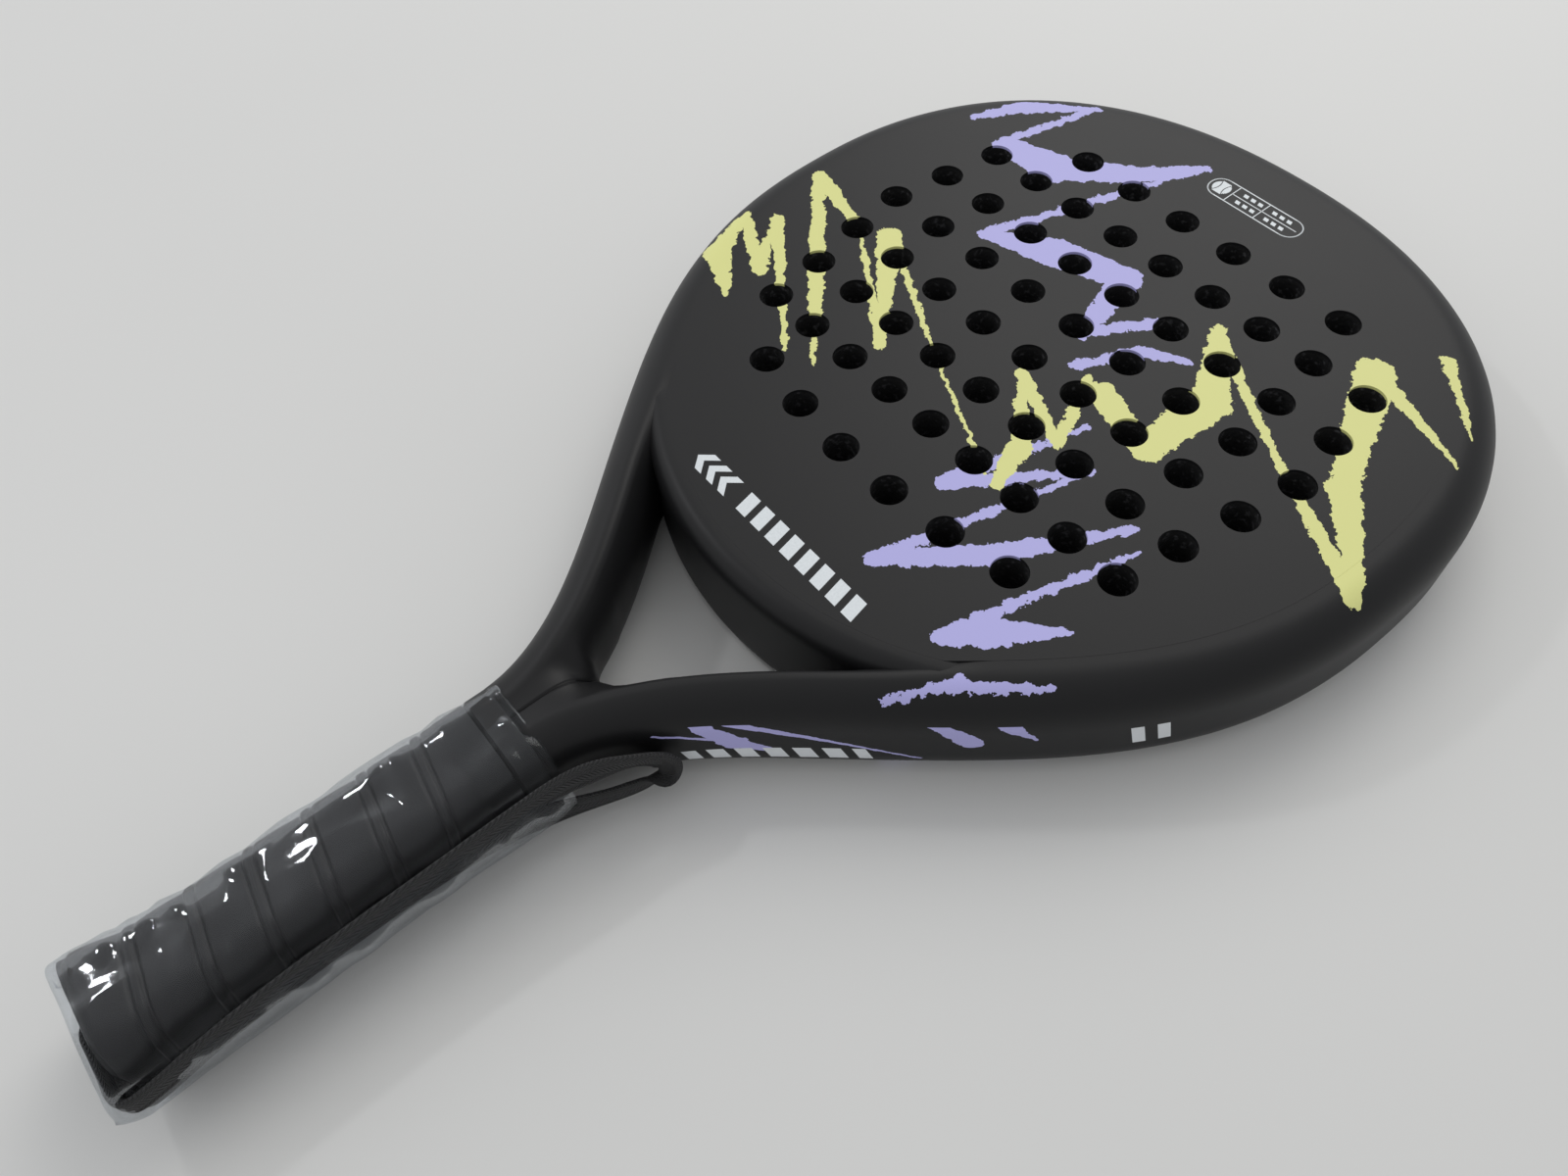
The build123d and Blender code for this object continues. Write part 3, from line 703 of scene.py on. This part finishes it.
# %% The small parts' finishes
def make_moulded(name, hex_code, roughness, grain, depth, metallic=0.0):
    """A moulded or plated surface with a fine grain of this size in metres."""
    material = finish_material(name)
    place = add(material, "TexCoord").outputs["Object"]
    spark = add(material, "TexNoise", Vector=place, Scale=1 / grain, Detail=3.0)
    wear = add(material, "TexNoise", Vector=place, Scale=60.0, Detail=2.0)
    dull = add(material, "MapRange", Value=wear.outputs[0], i3=roughness - 0.07, i4=roughness + 0.07)
    bump = add(material, "Bump", Height=spark.outputs[0], Strength=0.25, Distance=depth)
    shader = add(material, "BsdfPrincipled", Base_Color=colour(hex_code), Roughness=dull.outputs[0],
                 Metallic=metallic, Normal=bump.outputs[0])
    return end_material(material, shader)


small_finishes = {
    "butt_cap": make_moulded("spark_textured_polypropylene", "161617", 0.48, 0.0006, 0.0001),
    "butt_cap_tacks": make_moulded("plated_wire", "b9bcc0", 0.28, 0.0004, 0.00002, metallic=1.0),
    "grip_collar": make_moulded("moulded_rubber", "1a1a1b", 0.62, 0.0008, 0.0001),
    "grip_finishing_tape": make_moulded("vinyl_band", "141415", 0.3, 0.003, 0.0001),
}
for name, material in small_finishes.items():
    refinish(name, material)
print(len(small_finishes), "small finishes")

# %% [markdown]
# ## The grip tape
# The tape is a strip of smooth synthetic leather over soft foam, wound in a spiral from the butt upwards.
# Each turn laps the one before it, so its edge stands up, and a heat-pressed line runs beside that edge.
# The turns are formed in the mesh: a step and a groove follow the spiral round the handle.

# %% Section and spiral
BUTT, COLLAR = -221.5, -110.5
TURN_PITCH = 16.0


def rounded_section(width, height, radius, v):
    """Point at the share v of a rounded rectangle's edge, and the direction square to it."""
    flat_y, flat_z = width - 2 * radius, height - 2 * radius
    corner = math.pi / 2 * radius
    run = v % 1.0 * (2 * flat_y + 2 * flat_z + 4 * corner)
    for number, length in enumerate((flat_y, corner, flat_z, corner) * 2):
        if run <= length or number == 7:
            break
        run -= length
    side = number // 2
    turn = -side * math.pi / 2
    if number % 2:
        turn -= run / radius
        centre = ((1, 1), (1, -1), (-1, -1), (-1, 1))[side]
        out = Vector((math.sin(-turn), math.cos(turn)))
        return Vector((centre[0] * flat_y / 2, centre[1] * flat_z / 2)) + out * radius, out
    out = Vector((math.sin(-turn), math.cos(turn)))
    starts = ((-flat_y / 2, height / 2), (width / 2, flat_z / 2), (flat_y / 2, -height / 2),
              (-width / 2, -flat_z / 2))
    ways = ((1, 0), (0, -1), (-1, 0), (0, 1))
    return Vector(starts[side]) + Vector(ways[side]) * run, out


def make_tape():
    """The wound tape, its butt end folded over the cap."""
    # The fold over the cap: x, and how much smaller the section is there.
    fold = ((-222.4, -8.0), (-222.5, -6.0), (-222.4, -4.4), (-222.0, -2.4), (-221.2, -1.1), (-220.0, -0.3),
            (-218.6, 0.0))
    along = 300

    def place(u, v):
        step = round(u * along)
        if step < len(fold):
            x, grow = fold[step]
        else:
            share = (step - len(fold) + 1) / (along - len(fold) + 1)
            x, grow = mix(-218.6, COLLAR - 0.1, share), 0.0
        flare = 3.0 * (1 - smooth_step(0.0, 1.0, (x - BUTT) / 20.0) ** 0.8)
        reach = flare + grow
        point, out = rounded_section(31.0 + 2 * reach, 28.0 + 2 * reach, max(8.3 + reach, 1.0), v)
        # Each turn's step at its edge, then the slope to the next, two pressed lines and a soft swelling.
        phase = ((x - BUTT) / TURN_PITCH - v + 0.31 + 0.03 * noise.noise(Vector((x * 0.05, 0, 0)))) % 1.0
        lap = 0.9 * (smooth_step(0.0, 0.05, phase) - 1) + 0.7 * (1 - phase) - 0.5
        lap -= 0.8 * math.exp(-((phase - 0.20) / 0.03) ** 2)
        lap -= 0.35 * math.exp(-(min(phase, 1 - phase) / 0.03) ** 2)
        lap += 0.22 * math.sin(math.pi * min(max((phase - 0.24) / 0.76, 0), 1))
        lap += 0.22 * noise.noise(Vector((x * 0.12, point.x * 0.12, point.y * 0.12)))
        point = point + out * (lap if step > 3 else 0.0)
        return (x, point.x, MIDDLE + point.y)
    return placed_grid("grip_tape_turns", along, 112, place, fill_ends=True)


# %% Smooth synthetic leather
def make_tape_finish():
    """Soft coated tape: near black, with a low sheen, fine creases and patches that are a little shinier."""
    material = finish_material("coated_grip_tape")
    place = add(material, "TexCoord").outputs["Object"]
    creases = add(material, "TexNoise", Vector=place, Scale=160.0, Detail=6.0, Roughness=0.6)
    pores = add(material, "TexVoronoi", Vector=place, Scale=1 / 0.0009)
    cloud = add(material, "TexNoise", Vector=place, Scale=45.0, Detail=2.0)
    shade = add(material, "MixRGB", Fac=cloud.outputs[0], Color1=colour("0c0b0c"), Color2=colour("1a181a"))
    height = math_node(material, "MULTIPLY_ADD", pores.outputs["Distance"], 0.3, creases.outputs[0])
    bump = add(material, "Bump", Height=height, Strength=0.3, Distance=0.0003)
    rub = add(material, "MapRange", Value=cloud.outputs[0], i3=0.36, i4=0.5)
    shader = add(material, "BsdfPrincipled", Base_Color=shade.outputs[0], Roughness=rub.outputs[0],
                 Normal=bump.outputs[0], Sheen_Weight=0.15, Sheen_Roughness=0.4)
    return end_material(material, shader)


tape_piece = finished_piece(make_tape(), "wound_grip_tape", "root", make_tape_finish())
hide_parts("grip_tape")

# %% [markdown]
# ## The strap
# The wrist strap is a flat tubular braid, 9.5 mm wide: soft ribs run along it, each made of short slanting
# stitches. A flat section follows the route, edge up beside the grip and turning over at the loop's end, and
# the ribs are in the mesh, while the finer yarn is bump on the strap's own length and width.

# %% The braid along its route
STRAP_WIDTH, STRAP_THICK = 9.5, 2.3
STRAP_AROUND = 40
# Where the strap's width points: the share of its length, then a direction.
wide_way = [
    (0.0, (0, 0.2, 1)), (0.04, (0, 0.2, 1)), (0.10, (0, 0.1, 1)), (0.38, (0, 0.12, 1)),
    (0.44, (0.1, -0.2, 1)), (0.485, (0.55, -0.5, 0.7)), (0.515, (0.55, -0.5, 0.7)), (0.56, (0, 0.1, 1)),
    (0.62, (0, -0.1, 1)), (0.90, (0, -0.1, 1)), (0.96, (0, 0.2, 1)), (1.0, (0, 0.2, 1)),
]


def wide_direction(share, run):
    """The direction of the strap's width at this share of its length, square to the run."""
    for (low, a), (high, b) in zip(wide_way, wide_way[1:]):
        if low <= share <= high:
            way = Vector(a).lerp(Vector(b), smooth_step(low, high, share))
            break
    way = way - run * way.dot(run)
    return way.normalized()


def make_strap():
    """A flat braided tube along the strap's line, with its own map of length and width."""
    count = len(strap_path) - 1
    runs = [0.0]
    for a, b in zip(strap_path, strap_path[1:]):
        runs.append(runs[-1] + (b - a).length)

    def place(u, v):
        step = round(u * count)
        before, after = strap_path[max(step - 1, 0)], strap_path[min(step + 1, count)]
        run = (after - before).normalized()
        wide = wide_direction(runs[step] / runs[-1], run)
        thick = run.cross(wide)
        turn = v * 2 * math.pi
        c, s = math.cos(turn), math.sin(turn)
        across = math.copysign(abs(c) ** 0.75, c) * STRAP_WIDTH / 2
        rise = math.copysign(abs(s) ** 0.6, s) * STRAP_THICK / 2
        rise *= 0.88 + 0.2 * math.cos(across / STRAP_WIDTH * 2 * math.pi * 3.0)
        point = strap_path[step] * 1000 + wide * across + thick * rise
        return tuple(point)
    return placed_grid("strap", count, STRAP_AROUND, place)


# %% Braided yarn
def make_braid():
    """Black polyester braid: slanting stitches on each rib, from the strap's own map, with painted shade in
    the dips between stitches.
    """
    material = finish_material("braided_polyester")
    laid = add(material, "UVMap", {"uv_map": "laid"}).outputs[0]
    parts = add(material, "SeparateXYZ", Vector=laid)
    along = math_node(material, "MULTIPLY", parts.outputs[0], strap_length * 1000 / 1.5)
    around = math_node(material, "MULTIPLY", parts.outputs[1], 2 * math.pi)
    across = math_node(material, "MULTIPLY_ADD", math_node(material, "COSINE", around), 3.0, 8.0)
    in_rib = math_node(material, "SUBTRACT", math_node(material, "FRACT", across), 0.5)
    rib = math_node(material, "ABSOLUTE", in_rib)
    slant = math_node(material, "MULTIPLY", math_node(material, "MULTIPLY_ADD", rib, 2.4, along), math.pi)
    stitch = math_node(material, "ABSOLUTE", math_node(material, "SINE", slant))
    ribbed = math_node(material, "MULTIPLY_ADD", rib, -1.2, stitch)
    place = add(material, "TexCoord").outputs["Object"]
    fibre = add(material, "TexNoise", Vector=place, Scale=2200.0, Detail=2.0)
    height = math_node(material, "MULTIPLY_ADD", fibre.outputs[0], 0.4, ribbed)
    bump = add(material, "Bump", Height=height, Strength=0.9, Distance=0.0009)
    # Painted shade and highlight: the yarn's colour is darker in the dips between stitches and lighter on
    # their crests, following the stitch pattern of the bump.
    shade = add(material, "MixRGB", Fac=stitch, Color1=colour("020202"), Color2=colour("1e1e20"))
    shader = add(material, "BsdfPrincipled", Base_Color=shade.outputs[0], Roughness=0.62,
                 Normal=bump.outputs[0], Sheen_Weight=0.08, Sheen_Roughness=0.5)
    return end_material(material, shader)


braid = make_braid()
strap_piece = finished_piece(make_strap(), "braided_wrist_strap", "root", braid)
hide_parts("wrist_cord")
refinish("cord_knot", braid)

# %% [markdown]
# ## The clear film
# The bag is crisp clear polypropylene, about a tenth of a millimetre thick. It was pulled over the grip and
# has crumpled, so it is nearly flat between sharp creases. Its section is a smooth closed curve about the
# grip and the strap, and each crease is a small tent along a line on that surface.

# %% The bag's section along the handle
BAG_END, BAG_MOUTH = -227.2, -99.9


def bag_corners(x):
    """Control points (y, z) of the bag's section at x, from the far seam over the top to the near seam."""
    butt = 1 - smooth_step(-222.0, -198.0, x)
    top = mix(34.2, 36.3, butt)
    mouth = smooth_step(-118.0, -104.0, x)
    near = mix(-25.0, -24.4, butt)
    far = mix(17.8, 18.8, butt) + mouth * 0.4
    return [
        (far, 19.5), (mix(15.9, 18.3, butt), 29.0), (mix(11.2, 13.5, butt), top - 0.6), (0.5, top),
        (-11.6, top - 0.4), (mix(-20.0, -21.5, butt), mix(28.8, 31.0, butt)), (near, 20.0),
        (mix(-21.0, -21.5, butt), mix(9.0, 7.0, butt)), (-11.6, 38.4 - top), (0.5, 38.0 - top),
        (mix(11.2, 13.5, butt), 38.6 - top), (mix(15.9, 18.3, butt), 9.0),
    ]


def on_closed_curve(corners, v):
    """Point at v on a smooth closed curve through the corners."""
    count = len(corners)
    s = (v % 1.0) * count
    index = int(s)
    t = s - index
    a, b, c, d = (Vector(corners[(index + shift) % count]) for shift in (-1, 0, 1, 2))
    tight = 0.42
    m1, m2 = (c - a) * tight, (d - b) * tight
    return ((2 * t ** 3 - 3 * t ** 2 + 1) * b + (t ** 3 - 2 * t ** 2 + t) * m1
            + (-2 * t ** 3 + 3 * t ** 2) * c + (t ** 3 - t ** 2) * m2)


# Each crease: x and section place at both ends, height of the fold in mm, and its reach in mm.
main_fold = [(-222.4, 3.36), (-212.9, 3.22), (-206.7, 3.22), (-198.8, 3.6), (-191.5, 2.98), (-182.5, 2.98),
             (-174.1, 4.05), (-170.7, 4.0), (-166.2, 3.5), (-157.8, 3.02), (-152.2, 3.02), (-140.9, 3.4),
             (-135.3, 3.68), (-127.4, 4.67), (-119.6, 3.82), (-112.0, 4.9)]
creases = [(*a, *b, 1.7, 11.0) for a, b in zip(main_fold, main_fold[1:])]
creases += [
    (-135.3, 3.68, -132.5, 1.9, 1.8, 7.0), (-132.5, 1.9, -127.4, 4.4, 1.6, 7.0),
    (-150.0, 3.0, -133.0, 1.9, 1.2, 8.0), (-186.4, 3.9, -184.2, 3.3, 1.2, 4.0),
    (-174.1, 4.05, -180.0, 1.6, 1.0, 7.0), (-191.5, 2.98, -196.5, 1.4, 1.3, 6.0),
    (-206.7, 3.22, -204.0, 1.3, 1.2, 6.0), (-206.7, 3.22, -200.5, 1.6, 1.2, 5.0),
    (-212.9, 3.22, -210.0, 1.2, 0.9, 6.0), (-119.6, 3.82, -117.0, 1.5, 1.2, 7.0),
    (-119.6, 3.82, -106.5, 3.4, 1.0, 5.0), (-108.3, 3.9, -106.7, 5.2, 1.4, 4.0),
    (-106.7, 5.2, -102.7, 4.6, 1.3, 4.0), (-101.0, 2.0, -100.0, 3.4, 1.0, 3.0),
    (-104.0, 3.2, -101.0, 5.6, 1.2, 4.0), (-170.7, 4.0, -163.0, 6.0, 1.2, 8.0),
    (-127.4, 4.67, -140.0, 6.0, 1.3, 8.0), (-198.8, 3.6, -205.0, 6.0, 1.2, 8.0),
    (-157.8, 3.02, -150.0, 5.4, 0.9, 8.0), (-188.0, 4.6, -176.0, 6.1, 1.0, 7.0),
    (-115.0, 5.0, -106.0, 6.2, 1.4, 6.0), (-146.0, 0.9, -128.0, 1.4, 1.0, 6.0),
    (-218.0, 1.0, -206.0, 0.6, 1.0, 6.0), (-170.0, 0.8, -160.0, 1.6, 0.9, 6.0),
    (-215.0, 8.0, -180.0, 7.4, 1.0, 9.0), (-180.0, 7.4, -150.0, 8.4, 1.0, 9.0),
    (-150.0, 8.4, -110.0, 7.2, 1.0, 9.0), (-200.0, 10.6, -140.0, 11.3, 0.9, 8.0),
]
SECTION_STEP = 9.2
print(len(creases), "creases")


def crease_height(x, s):
    """The tallest of the tents over this place."""
    tallest = 0.0
    for x0, s0, x1, s1, height, reach in creases:
        run_x, run_s = x1 - x0, (s1 - s0) * SECTION_STEP
        away_x, away_s = x - x0, (s - s0) * SECTION_STEP
        share = min(max((away_x * run_x + away_s * run_s) / (run_x ** 2 + run_s ** 2), 0.0), 1.0)
        gap = math.hypot(away_x - share * run_x, away_s - share * run_s)
        if gap < reach:
            tallest = max(tallest, height * (1 - gap / reach))
    return tallest


# %% The bag
BAG_ALONG, BAG_AROUND = 150, 168
FILM_THICK = 0.00012


def make_bag():
    """The crumpled bag, closed past the butt and open towards the head, then given its thickness."""
    centre = Vector((-3.0, MIDDLE))

    def place(u, v):
        x = mix(BAG_END, BAG_MOUTH, u)
        point = on_closed_curve(bag_corners(x), v)
        s = (v % 1.0) * 12
        out = (point - centre).normalized()
        edge = min(1.0, (x - BAG_END) / 5.0)
        wander = noise.noise(Vector((x * 0.035, out.x * 1.6, out.y * 1.6))) * 0.7
        lift = (crease_height(x, s) - 1.0) * 0.9 + wander
        point = point + out * lift * edge
        close = math.sqrt(max(1 - (1 - edge) ** 2, 0.0))
        point.x = mix(centre.x + (point.x - centre.x) * 0.94, point.x, close)
        point.y = mix(centre.y, point.y, close)
        pointed = -1.2 * (1 - edge) * math.cos(s / 12 * 2 * math.pi * 2)
        mouth_wave = 0.9 * noise.noise(Vector((0.3, s * 0.7, 4.0))) * smooth_step(-104.0, -100.0, x)
        point.y = min(max(point.y, 1.0), 37.2)
        return (x + pointed - abs(mouth_wave), point.x, point.y)

    bag = placed_grid("bag", BAG_ALONG, BAG_AROUND, place, fill_ends=False)
    closed_end = [vert for vert in bag.verts if vert.co.x < BAG_END / 1000 + 0.0008]
    bmesh.ops.remove_doubles(bag, verts=closed_end, dist=4e-5)
    bmesh.ops.solidify(bag, geom=bag.faces[:], thickness=FILM_THICK)
    bmesh.ops.recalc_face_normals(bag, faces=bag.faces)
    return bag


# %% Clear film
def make_film():
    """Clear glossy film: mostly transparent, mirror-like where it is seen at a low angle."""
    material = finish_material("clear_polypropylene_film")
    place = add(material, "TexCoord").outputs["Object"]
    ripple = add(material, "TexNoise", Vector=place, Scale=90.0, Detail=3.0)
    scratch = add(material, "TexNoise", Vector=place, Scale=900.0, Detail=2.0)
    haze = add(material, "MapRange", Value=scratch.outputs[0], i3=0.02, i4=0.07)
    bump = add(material, "Bump", Height=ripple.outputs[0], Strength=0.15, Distance=0.0004)
    edge_on = add(material, "Fresnel", IOR=1.49, Normal=bump.outputs[0])
    amount = math_node(material, "MULTIPLY", edge_on.outputs[0], 0.24)
    through = add(material, "BsdfTransparent", Color=colour("f6f7f8"))
    gloss = add(material, "BsdfPrincipled", Base_Color=(0.95, 0.96, 0.97, 1.0), Metallic=1.0,
                Roughness=haze.outputs[0], Normal=bump.outputs[0])
    shader = add(material, "MixShader", i0=amount, i1=through.outputs[0], i2=gloss.outputs[0])
    return end_material(material, shader)


bag_piece = finished_piece(make_bag(), "clear_film_bag", "sleeve", make_film())
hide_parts("film_sleeve")

# %% [markdown]
# ## Floor and light
# The racket lies on pale paper. A broad ceiling light and the room itself, brighter on its far side, light it
# softly, and a small bright window draws the thin highlights on the film.

# %% The floor
floor_shape = bmesh.new()
bmesh.ops.create_grid(floor_shape, x_segments=2, y_segments=2, size=1.6)
floor_mesh = bpy.data.meshes.new("floor")
floor_shape.to_mesh(floor_mesh)
floor_shape.free()
floor = bpy.data.objects.new("floor", floor_mesh)
floor.location = (0, 0, -0.0002)
bpy.context.scene.collection.objects.link(floor)
paper = finish_material("pale_paper")
paper_place = add(paper, "TexCoord").outputs["Object"]
paper_cloud = add(paper, "TexNoise", Vector=paper_place, Scale=3.0, Detail=2.0)
paper_shade = add(paper, "MixRGB", Fac=paper_cloud.outputs[0], Color1=colour("d3d3d1"),
                  Color2=colour("dadad8"))
paper_shader = add(paper, "BsdfPrincipled", Base_Color=paper_shade.outputs[0], Roughness=0.55)
end_material(paper, paper_shader)
floor_mesh.materials.append(paper)


# %% The lights
def soft_light(name, place, target, size, watts, tint):
    """A rectangular area light at a place, turned to its target."""
    data = bpy.data.lights.new(name, "AREA")
    data.shape = "RECTANGLE"
    data.size, data.size_y = size
    data.energy = watts
    data.color = colour(tint)[:3]
    light = bpy.data.objects.new(name, data)
    light.location = place
    light.rotation_euler = (Vector(target) - Vector(place)).to_track_quat("-Z", "Y").to_euler()
    bpy.context.scene.collection.objects.link(light)
    return light


soft_light("window", (-0.35, 1.0, 1.1), (0.0, 0.0, 0.0), (0.13, 0.08), 1.8, "fbfcff")
soft_light("ceiling", (1.05, 0.5, 1.1), (0.1, 0.0, 0.0), (1.0, 1.0), 7.0, "fffdf9")
# The room's strength rises from its near side to its far side.
world = bpy.data.worlds.new("room")
world.use_nodes = True
background = world.node_tree.nodes["Background"]
background.inputs["Color"].default_value = colour("e6e7e9")
from_where = world.node_tree.nodes.new("ShaderNodeTexCoord")
split_way = world.node_tree.nodes.new("ShaderNodeSeparateXYZ")
room_shade = world.node_tree.nodes.new("ShaderNodeMapRange")
for socket, value in zip(room_shade.inputs[1:5], (-0.8, 0.5, 0.62, 1.0)):
    socket.default_value = value
world.node_tree.links.new(from_where.outputs["Generated"], split_way.inputs[0])
world.node_tree.links.new(split_way.outputs[1], room_shade.inputs[0])
world.node_tree.links.new(room_shade.outputs[0], background.inputs["Strength"])
bpy.context.scene.world = world
bpy.context.scene.view_settings.view_transform = "Standard"
